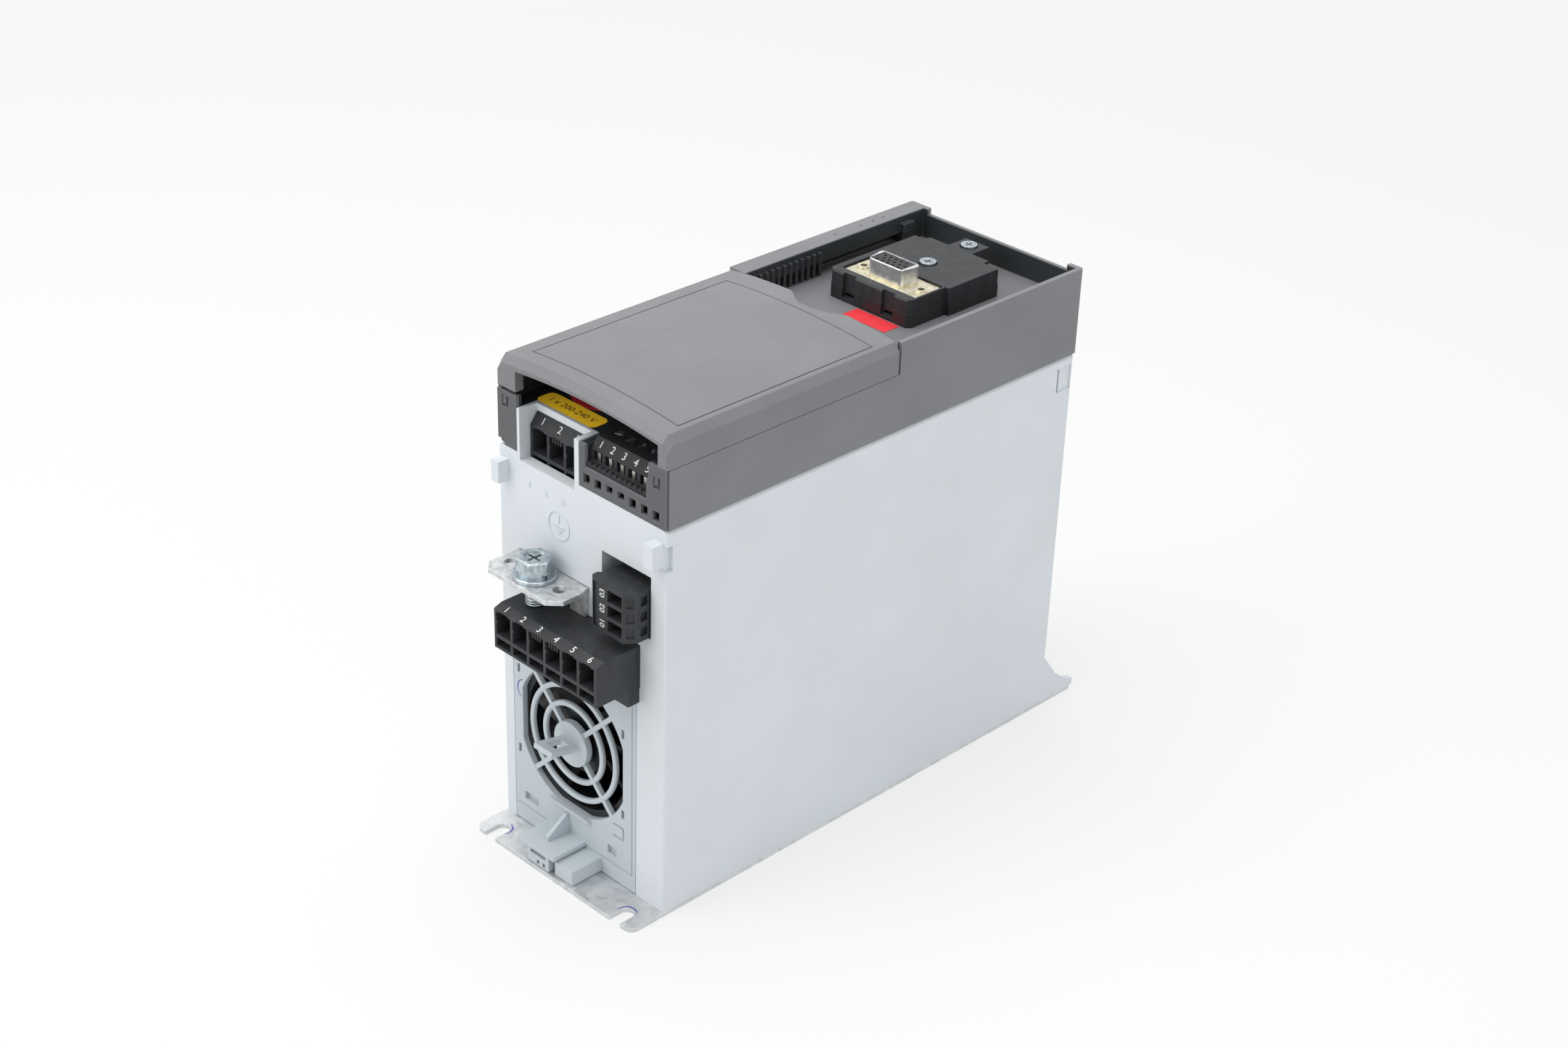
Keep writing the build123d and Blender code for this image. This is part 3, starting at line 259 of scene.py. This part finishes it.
def dark_plastic(name, painted_shade_masks=None):
    """Mid-dark grey moulding with the same fine texture; the optional mask function gives where shade is
    painted in, near black and a darker grey.
    """
    grey = tone(117, 118, 121)
    finish = Finish(name, Specular_IOR_Level=0.55)
    grain = finish.noise(0.34, 2.0)
    cloud = finish.noise(22.0, 2.0)
    rub = finish.noise(9.0, 6.0, 0.65, finish.stretched((0.5, 1.0, 1.0)))
    colour = finish.patchy(cloud.step(0.3, 0.7), grey, 0.95, 1.05)
    colour = finish.mix(grain.step(0.4, 0.7) * 0.4, colour, shade(grey, 0.8))
    if painted_shade_masks:
        # Painted shade: the first mask paints the shaded interior near black, and the second paints the
        # near-facing strip a darker grey.
        black, near = painted_shade_masks(finish)
        colour = finish.mix(near, colour, tone(80, 81, 84))
        colour = finish.mix(black, colour, tone(40, 44, 47))
    # Painted highlight: a much lighter grey along each edge.
    colour = finish.mix(finish.edges(0.5) * 0.5, colour, shade(grey, 1.5))
    rough = 0.4 + 0.14 * grain - 0.08 * rub.step(0.55, 0.75)
    return finish.surface(Base_Color=colour, Roughness=rough, Normal=finish.bump(grain, 0.05, 0.55, 0.35))


def frame_painted_shade(finish):
    """Masks of painted shade on the frame: its inner walls and terminal deck, painted near black where the
    interior lies in shade (the deck partly standing for a black moulding), and its near strip, painted
    darker.
    """
    low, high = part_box("front_frame")
    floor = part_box("bay_label")[0][2]
    bay_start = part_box("terminal_cover")[1][1]
    x, y, z = (finish.along(axis) for axis in "XYZ")
    within = (x > low[0] + FRAME_SKIN) * (x < high[0] - FRAME_SKIN) * (y < high[1] - FRAME_SKIN)
    # Painted shade: the deck under the cover and the bay's inner walls, where the interior lies in shade.
    deck = within * (y > low[1] + FRAME_SKIN) * (y < bay_start)
    walls = within * (z > floor + FRAME_RIM) * (z < high[2] - FRAME_RIM) * (y > bay_start)
    # Painted shade: the faces of the near strip that look to the near side, darker as if less lit.
    near = (y < low[1] + NEAR_STRIP) * (finish.facing("Y") < -0.5)
    return either(deck, walls), near


def connector_plastic(name, level, gloss):
    """Black glass-filled moulding of the terminals, with fine flow marks and dust."""
    black = tone(level, level + 2, level + 5)
    finish = Finish(name, Specular_IOR_Level=0.36)
    grain = finish.noise(0.45, 4.0, 0.6)
    flow = finish.noise(3.5, 4.0, 0.6, finish.stretched((1.0, 1.0, 0.3)))
    dust = finish.cells(1.7).step(0.1, 0.04) * finish.noise(9.0, 2.0).step(0.56, 0.66)
    colour = finish.patchy(flow.step(0.35, 0.65), black, 0.85, 1.2)
    # Painted highlight: the black lifted strongly along each edge.
    colour = finish.mix(finish.edges(0.3) * 0.6, colour, shade(black, 2.6))
    colour = finish.mix(dust * 0.25, colour, tone(150, 148, 142))
    rough = gloss + 0.16 * grain + 0.2 * dust
    return finish.surface(Base_Color=colour, Roughness=rough, Normal=finish.bump(grain, 0.03, 0.5, 0.2))


def galvanised_sheet():
    """Zinc-coated sheet: faint spangle, fine pits and a light drag of the rolling."""
    zinc = tone(214, 216, 218)
    finish = Finish("galvanised_sheet", Metallic=0.82)
    spangle = finish.cells(2.6, "Color")
    crystal = finish.node("ShaderNodeSeparateColor", None, {0: spangle})
    pits = finish.cells(0.75).step(0.3, 0.08)
    speckle = finish.noise(0.6, 5.0, 0.7)
    rolled = finish.noise(1.2, 4.0, 0.6, finish.stretched((1.0, 0.04, 1.0)))
    colour = finish.patchy(crystal, zinc, 0.86, 1.06)
    colour = finish.mix(speckle.step(0.42, 0.62) * 0.45, colour, shade(zinc, 0.78))
    colour = finish.mix(pits * 0.35, colour, shade(zinc, 0.55))
    # Painted highlight: lighter zinc along each edge.
    colour = finish.mix(finish.edges(0.35) * 0.5, colour, shade(zinc, 1.15))
    rough = 0.33 + 0.12 * crystal + 0.16 * speckle + 0.08 * rolled
    height = 0.6 * speckle + 0.3 * rolled - 0.8 * pits
    return finish.surface(Base_Color=colour, Roughness=rough, Normal=finish.bump(height, 0.02, 0.6, 0.2))


def tinned_sheet():
    """Worn tinned bracket: dull mottles over a soft bright metal, with drag scratches."""
    tin = tone(214, 216, 217)
    finish = Finish("tinned_sheet", Metallic=0.86)
    mottle = finish.noise(2.4, 5.0, 0.65)
    speckle = finish.noise(0.5, 4.0, 0.7)
    drag = finish.noise(0.9, 4.0, 0.6, finish.stretched((0.05, 1.0, 1.0)))
    colour = finish.patchy(mottle.step(0.4, 0.62), tin, 0.8, 1.06)
    colour = finish.mix(speckle.step(0.55, 0.7) * 0.5, colour, shade(tin, 0.68))
    # Painted highlight: lighter tin along each edge.
    colour = finish.mix(finish.edges(0.35) * 0.6, colour, shade(tin, 1.2))
    rough = 0.26 + 0.22 * mottle + 0.1 * drag
    height = speckle + 0.5 * drag
    return finish.surface(Base_Color=colour, Roughness=rough, Normal=finish.bump(height, 0.02, 0.5, 0.25))


def bright_zinc():
    """Bluish zinc plate on fasteners, with a painted highlight along each edge."""
    zinc = tone(188, 198, 205)
    finish = Finish("bright_zinc", Metallic=1.0)
    wear = finish.noise(1.3, 5.0, 0.65)
    fine = finish.noise(0.25, 3.0, 0.6)
    colour = finish.patchy(wear.step(0.4, 0.65), zinc, 0.78, 1.05)
    # Painted highlight: near-white metal along each edge.
    colour = finish.mix(finish.edges(0.3) * 0.7, colour, tone(235, 238, 240))
    rough = 0.2 + 0.18 * wear + 0.06 * fine
    return finish.surface(Base_Color=colour, Roughness=rough,
                          Normal=finish.bump(wear + fine, 0.015, 0.6, 0.18))


def blue_passivated():
    """Hexagon bolt: a stronger blue passivation with a worn, darker top."""
    zinc = tone(182, 193, 198)
    finish = Finish("blue_passivated_steel", Metallic=0.95)
    wear = finish.noise(1.6, 5.0, 0.6)
    turned = finish.noise(0.3, 3.0, 0.6)
    colour = finish.patchy(wear.step(0.38, 0.64), zinc, 0.72, 1.15)
    # Painted highlight: near-white metal along each edge.
    colour = finish.mix(finish.edges(0.4) * 0.75, colour, tone(228, 234, 238))
    rough = 0.24 + 0.2 * wear
    return finish.surface(Base_Color=colour, Roughness=rough,
                          Normal=finish.bump(wear + turned, 0.02, 0.6, 0.25))


def serial_shell(rim_height):
    """Socket shell: warm chromated flange, and bright tin above rim_height."""
    finish = Finish("serial_shell", Metallic=0.85)
    mottle = finish.noise(1.8, 4.0, 0.6)
    warm = finish.mix(mottle.step(0.35, 0.65), tone(206, 198, 170), tone(232, 226, 204))
    bright = finish.mix(mottle.step(0.35, 0.65), tone(205, 207, 210), tone(232, 234, 236))
    colour = finish.mix(finish.along("Z") > rim_height, warm, bright)
    return finish.surface(Base_Color=colour, Roughness=0.24 + 0.16 * mottle,
                          Normal=finish.bump(mottle, 0.02, 0.5, 0.2))


def contact_tin():
    """Bright tinned clamps and pins."""
    finish = Finish("contact_tin", Metallic=1.0)
    wear = finish.noise(0.8, 4.0, 0.6)
    colour = finish.mix(wear.step(0.35, 0.65), tone(172, 168, 160), tone(226, 222, 212))
    return finish.surface(Base_Color=colour, Roughness=0.2 + 0.2 * wear,
                          Normal=finish.bump(wear, 0.02, 0.5, 0.1))


def bare_aluminium():
    """Extruded bars with draw lines along the length."""
    finish = Finish("bare_aluminium", Metallic=0.95)
    lines = finish.noise(0.5, 4.0, 0.6, finish.stretched((1.0, 0.03, 1.0)))
    colour = finish.mix(lines.step(0.35, 0.65), tone(168, 170, 173), tone(208, 210, 212))
    return finish.surface(Base_Color=colour, Roughness=0.3 + 0.2 * lines,
                          Normal=finish.bump(lines, 0.02, 0.5))


def board_lacquer():
    """Green solder resist with the faint tracks beneath it."""
    finish = Finish("board_lacquer", Roughness=0.32)
    tracks = finish.cells(3.2, feature="DISTANCE_TO_EDGE").step(0.04, 0.07)
    colour = finish.mix(tracks, tone(34, 96, 58), tone(18, 66, 38))
    return finish.surface(Base_Color=colour, Normal=finish.bump(tracks, 0.03, 0.6))


def copper_coils():
    """Enamelled turns round a core."""
    finish = Finish("copper_coils", Metallic=0.7)
    turns = finish.node("ShaderNodeTexWave", {"wave_type": "BANDS", "bands_direction": "Z"},
                        {"Vector": finish.place(), "Scale": 260.0, "Distortion": 0.8})
    colour = finish.mix(turns, tone(120, 62, 34), tone(206, 128, 80))
    return finish.surface(Base_Color=colour, Roughness=0.28 + 0.2 * turns,
                          Normal=finish.bump(turns, 0.15, 0.7))


def label_film(name, colour, glow):
    """Printed label with a slight orange peel; glow is the share of its colour it gives off itself, painted
    light on a part that is no lamp.
    """
    finish = Finish(name, Coat_Roughness=0.3, Emission_Strength=glow)
    ripple = finish.noise(2.5, 3.0)
    fade = finish.noise(5.0, 4.0)
    body = finish.mix(fade.step(0.35, 0.7) * 0.5, colour, shade(colour, 1.12))
    return finish.surface(Base_Color=body, Roughness=0.34 + 0.1 * ripple, Emission_Color=colour,
                          Normal=finish.bump(ripple, 0.03, 0.4))


def print_ink(name, colour):
    """Screen-printed ink, thin in places."""
    finish = Finish(name)
    thin = finish.noise(0.35, 4.0, 0.7)
    body = finish.mix(thin.step(0.5, 0.75) * 0.5, colour, shade(colour, 0.72))
    return finish.surface(Base_Color=body, Roughness=0.5 + 0.15 * thin)


def floor_paper(level, glow):
    """Pale floor with barely any tooth. Seen directly, glow of it is plain white, and all of it far off."""
    finish = Finish("floor_paper", Specular_IOR_Level=0.1)
    tooth = finish.noise(3.0, 2.0)
    colour = finish.mix(tooth, tone(level, level, level), tone(level + 1, level + 1, level + 1))
    paper = finish.surface(Base_Color=colour, Roughness=0.85 + 0.1 * tooth)
    white = finish.node("ShaderNodeEmission", None, {"Color": (*(SEEN_WHITE,) * 3, 1.0), "Strength": 1.0})
    camera = finish.node("ShaderNodeLightPath", output="Is Camera Ray")
    glossy = finish.node("ShaderNodeLightPath", output="Is Glossy Ray")
    seen = either(camera, glossy)
    distance = finish.node("ShaderNodeVectorMath", {"operation": "LENGTH"}, {0: finish.place()}, "Value")
    share = glow + (1.0 - glow) * distance.step(FADE_START, FADE_END)
    lit = Value(finish, finish.shader.outputs[0])
    shown = finish.node("ShaderNodeMixShader", None, {0: seen * share, 1: lit, 2: white})
    finish.feed(finish.tree.nodes["Material Output"].inputs["Surface"], shown)
    return paper


# -------------------------------------------------------------- finish by node

def record_slots():
    return {subpart["node"]: subpart["material_slot"] for subpart in frame["record"]["subparts"]}


def dress(node, material):
    for place in range(len(frame["nodes"][node].data.materials)):
        frame["nodes"][node].data.materials[place] = material


flange_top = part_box("serial_flange")[0][2] + FLANGE_SHEET
finishes = {
    "grey_plastic": case_plastic("case_plastic", tone(213, 218, 223)),
    # The frame's finish paints shade onto its interior and its near strip.
    "dark_plastic": dark_plastic("frame_plastic_and_painted_shade", frame_painted_shade),
    "black_plastic": connector_plastic("connector_plastic", 45, 0.44),
    "galvanised": galvanised_sheet(),
    "zinc_bright": bright_zinc(),
    "contact_metal": contact_tin(),
    "serial_metal": serial_shell(flange_top),
    "aluminium": bare_aluminium(),
    "board_green": board_lacquer(),
    "copper_wire": copper_coils(),
    # Painted light: the yellow label glows to lift it out of the shade under the terminal cover, and the
    # red one glows faintly.
    "label_yellow": label_film("yellow_label_painted_glow", tone(252, 204, 44), 0.16),
    "label_red": label_film("red_label_painted_glow", tone(222, 56, 64), 0.02),
}
special = {
    # The fan cover's grey is darker than the case's: partly its own moulding, and partly painted shade for
    # its low place, farther from the light.
    "fan_cover": case_plastic("fan_cover_plastic_and_shade", tone(188, 196, 202)),
    "terminal_cover": dark_plastic("cover_plastic"),
    # The control plug is a darker black than the other terminals, painted shade for the shadow of the
    # terminal cover over it; it is also rougher.
    "control_plug": connector_plastic("plug_plastic_and_shade", 34, 0.5),
    "earth_bracket": tinned_sheet(),
    "earth_bolt": blue_passivated(),
    "module_base": connector_plastic("module_plastic", 40, 0.3),
    "module_lid": finishes["black_plastic"],
    "fan_rotor": connector_plastic("fan_plastic", 22, 0.36),
    "fan_frame": connector_plastic("fan_frame_plastic", 24, 0.4),
}
for node, slot in record_slots().items():
    dress(node, special.get(node, finishes[slot]))


# ------------------------------------------------------ print, marks and ink

white_print = print_ink("white_print", tone(232, 233, 234))
dark_print = print_ink("dark_print", tone(46, 42, 34))
pen_ink = print_ink("pen_ink", tone(88, 84, 168))


def near_face():
    """Y of the housing's near face."""
    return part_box("housing")[0][1] + TAB_REACH


def add_piece(name, mesh, material, body):
    mesh.materials.clear()
    mesh.materials.append(material)
    piece = bpy.data.objects.new(name, mesh)
    bpy.context.scene.collection.objects.link(piece)
    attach(piece, body)
    return piece


def lettering(words, cap_height, thickness):
    """Mesh of plain figures centred on the origin, reading along X with their tops towards Y."""
    curve = bpy.data.curves.new("figures", "FONT")
    curve.body = words
    curve.align_x = "CENTER"
    curve.align_y = "CENTER"
    curve.size = cap_height / CAP_SHARE
    curve.extrude = thickness / 2
    curve.resolution_u = 5
    holder = bpy.data.objects.new("figures", curve)
    bpy.context.scene.collection.objects.link(holder)
    bpy.context.view_layer.update()
    mesh = bpy.data.meshes.new_from_object(holder)
    bpy.data.objects.remove(holder)
    return mesh


def set_out(mesh, place, along, up):
    """Lays a mesh made on the XY plane onto a surface: along is its X and up its Y."""
    along, up = along.normalized(), up.normalized()
    turn = Matrix((along, up, along.cross(up))).transposed().to_4x4()
    mesh.transform(Matrix.Translation(place) @ turn)
    return mesh


def figure(name, words, cap_height, place, along, up, body,
           material=white_print, thickness=INK):
    mesh = set_out(lettering(words, cap_height, thickness), place, along, up)
    add_piece(name, mesh, material, body)


def header_numbers(node, poles, rise, run):
    """Numbers on the sloped front edge of a header, one over each pole."""
    low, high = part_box(node)
    slope = Vector((0, run, rise))
    middle = Vector((0, low[1] + run / 2, high[2] - rise / 2))
    middle += slope.cross(-X_AXIS).normalized() * INK
    for pole in range(poles):
        across = low[0] + HEADER_WALL + HEADER_PITCH * pole + (HEADER_PITCH - HEADER_WALL) / 2
        place = middle + X_AXIS * across
        figure(f"{node}_number_{pole + 1}", str(pole + 1), FIGURE_HEIGHT, place, X_AXIS, slope, "drive")


def relay_numbers():
    """Numbers turned on their side between the strip and the wire entries of the relay plug."""
    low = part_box("relay_plug")[0]
    for pole in range(3):
        place = Vector((low[0] + RELAY_FIGURES, low[1] - INK, low[2] + RELAY_FIRST + RELAY_PITCH * pole))
        figure(f"relay_number_{pole + 1}", f"0{pole + 1}", RELAY_FIGURE_HEIGHT, place, Z_AXIS, -X_AXIS,
               "relay_plug")


def control_numbers():
    """Numbers on the sloped strip over the wire entries of the control plug."""
    low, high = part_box("control_plug")
    slope = Vector((0, CONTROL_RUN, CONTROL_RISE))
    middle = Vector((0, low[1] + CONTROL_LEDGE + CONTROL_RUN / 2, high[2] - CONTROL_RISE / 2))
    middle += slope.cross(-X_AXIS).normalized() * INK
    for pole in range(5):
        across = (low[0] + high[0]) / 2 + (pole - 2) * CONTROL_PITCH
        place = middle + X_AXIS * across
        figure(f"control_number_{pole + 1}", str(pole + 1), FIGURE_HEIGHT, place, X_AXIS, slope,
               "control_plug")


def label_rating():
    """Supply rating printed along the yellow label."""
    low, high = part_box("supply_label")
    place = (low + high) / 2
    place.z = high[2] + INK / 2
    figure("supply_rating", "1 x 200-240 V", RATING_HEIGHT, place, X_AXIS, Y_AXIS, "drive", dark_print)


def moulded_numbers():
    """Low raised numbers in the case under the mains header."""
    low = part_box("mains_header")[0]
    below = 3.6 * MM
    for pole in range(3):
        across = low[0] + HEADER_WALL + HEADER_PITCH * (pole + 0.45)
        place = Vector((across, near_face(), low[2] - below))
        figure(f"case_number_{pole + 1}", str(pole + 1), FIGURE_HEIGHT, place, X_AXIS, Z_AXIS, "drive",
               finishes["grey_plastic"], MOULDED)


def pen_stroke(name, points, width, lift):
    """Flat ribbon of ink through points on the XY plane, thinning towards its ends."""
    shape = bmesh.new()
    rows = []
    for place, (x, y) in enumerate(points):
        before = Vector(points[max(place - 1, 0)])
        after = Vector(points[min(place + 1, len(points) - 1)])
        side = (after - before).normalized().orthogonal()
        reach = width / 2 * (0.35 + 0.65 * sin(pi * (place + 0.5) / len(points)))
        rows.append([shape.verts.new((x + side.x * sign * reach, y + side.y * sign * reach, lift))
                     for sign in (-1, 1)])
    for first, second in zip(rows, rows[1:]):
        shape.faces.new((first[0], first[1], second[1], second[0]))
    bmesh.ops.recalc_face_normals(shape, faces=shape.faces)
    mesh = bpy.data.meshes.new(name)
    shape.to_mesh(mesh)
    shape.free()
    return mesh


def slot_ink():
    """A fitter's pen marks round the closed ends of the two near slots, and one on the fan cover's edge."""
    steady = random.Random(11)
    low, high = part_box("mounting_plate")
    slot_end = low[1] + SLOT_TO_EDGE
    for side, start, sweep in ((-1, -25, 115), (1, 40, 150)):
        points = []
        for step in range(PEN_STEPS):
            share = step / (PEN_STEPS - 1)
            angle = radians(start + sweep * share)
            radius = PEN_RADIUS + (steady.uniform(-PEN_WOBBLE, PEN_WOBBLE) + 0.5 * share) * MM
            points.append((side * SLOT_COLUMN + radius * cos(angle), slot_end + radius * sin(angle)))
        mesh = pen_stroke("slot_ink", points, SLOT_PEN, high[2] + INK)
        add_piece(f"slot_ink_{'left' if side < 0 else 'right'}", mesh, pen_ink, "drive")
    wide, tall = 3.2 * MM, 3.6 * MM
    points = [(wide * cos(radians(turn)), tall * sin(radians(turn))) for turn in range(100, 241, 14)]
    mesh = pen_stroke("cover_ink", points, COVER_PEN, 0)
    from_edge, height = 5.0 * MM, 52.0 * MM
    place = Vector((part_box("fan_cover")[0][0] + from_edge, near_face() - INK, height))
    set_out(mesh, place, X_AXIS, Z_AXIS)
    add_piece("cover_ink", mesh, pen_ink, "fan_cassette")


header_numbers("motor_header", poles=6, rise=1.1 * MM, run=3.0 * MM)
header_numbers("mains_header", poles=3, rise=3.7 * MM, run=3.0 * MM)
relay_numbers()
control_numbers()
label_rating()
moulded_numbers()
slot_ink()


# ------------------------------------------------------- floor, light, camera

def stage_floor(level):
    mesh = bpy.data.meshes.new("floor")
    shape = bmesh.new()
    bmesh.ops.create_circle(shape, cap_ends=True, segments=96, radius=FLOOR_RADIUS)
    shape.to_mesh(mesh)
    shape.free()
    mesh.materials.append(floor_paper(level, FLOOR_GLOW))
    floor = bpy.data.objects.new("floor", mesh)
    floor.location.z = cad_box[0][2]
    bpy.context.scene.collection.objects.link(floor)


def softbox(name, place, aim, size, watts):
    """Square, slightly warm area light of the given side in metres, turned to its aim."""
    light = bpy.data.lights.new(name, "AREA")
    light.size = size
    light.energy = watts
    light.color = (1.0, 0.985, 0.965)
    holder = bpy.data.objects.new(name, light)
    holder.location = place
    holder.rotation_euler = (Vector(aim) - Vector(place)).to_track_quat("-Z", "Y").to_euler()
    bpy.context.scene.collection.objects.link(holder)


def pale_world(level):
    """Even, slightly cool light, and plain white where it is seen directly or in a shine."""
    world = bpy.data.worlds.new("pale_room")
    bpy.context.scene.world = world
    world.use_nodes = True
    nodes, links = world.node_tree.nodes, world.node_tree.links
    background = nodes["Background"]
    path = nodes.new("ShaderNodeLightPath")
    seen = nodes.new("ShaderNodeMath")
    seen.operation = "MAXIMUM"
    links.new(path.outputs["Is Camera Ray"], seen.inputs[0])
    mirrored = nodes.new("ShaderNodeMath")
    mirrored.operation = "MAXIMUM"
    links.new(path.outputs["Is Glossy Ray"], mirrored.inputs[0])
    links.new(path.outputs["Is Transmission Ray"], mirrored.inputs[1])
    links.new(mirrored.outputs[0], seen.inputs[1])
    strength = nodes.new("ShaderNodeMapRange")
    strength.inputs["To Min"].default_value = level
    strength.inputs["To Max"].default_value = SEEN_WHITE
    links.new(seen.outputs[0], strength.inputs["Value"])
    links.new(strength.outputs[0], background.inputs["Strength"])
    tint = nodes.new("ShaderNodeMix")
    tint.data_type = "RGBA"
    tint.inputs[6].default_value = (0.95, 0.985, 1.0, 1.0)
    tint.inputs[7].default_value = (1.0, 1.0, 1.0, 1.0)
    links.new(seen.outputs[0], tint.inputs[0])
    links.new(tint.outputs[2], background.inputs["Color"])


def camera_at(place, azimuth, elevation, roll, lens):
    """Camera that looks back along the given direction, with its roll, in degrees."""
    azimuth, elevation, roll = radians(azimuth), radians(elevation), radians(roll)
    back = Vector((sin(azimuth) * cos(elevation), -cos(azimuth) * cos(elevation), sin(elevation)))
    right = Z_AXIS.cross(back).normalized()
    up = back.cross(right)
    across = cos(roll) * right + sin(roll) * up
    above = cos(roll) * up - sin(roll) * right
    data = bpy.data.cameras.new("camera")
    data.lens = lens
    data.sensor_width = 36.0
    camera = bpy.data.objects.new("camera", data)
    camera.matrix_world = Matrix.Translation(place) @ Matrix((across, above, back)).transposed().to_4x4()
    bpy.context.scene.collection.objects.link(camera)
    bpy.context.scene.camera = camera


stage_floor(FLOOR_LEVEL)
pale_world(ROOM_LEVEL)
middle = (0.0, 0.0, 0.09)
softbox("overhead", (-0.15, -0.1, 1.2), middle, size=1.2, watts=12.0)
softbox("near_left", (-0.5, -1.02, 0.72), middle, size=0.9, watts=4.5)
softbox("right_fill", (1.2, -0.15, 0.55), middle, size=0.9, watts=2.6)
camera_at((0.51471, -0.53214, 0.50204), azimuth=44.31, elevation=29.12, roll=2.018, lens=60.32)
bpy.context.scene.view_settings.view_transform = "Standard"
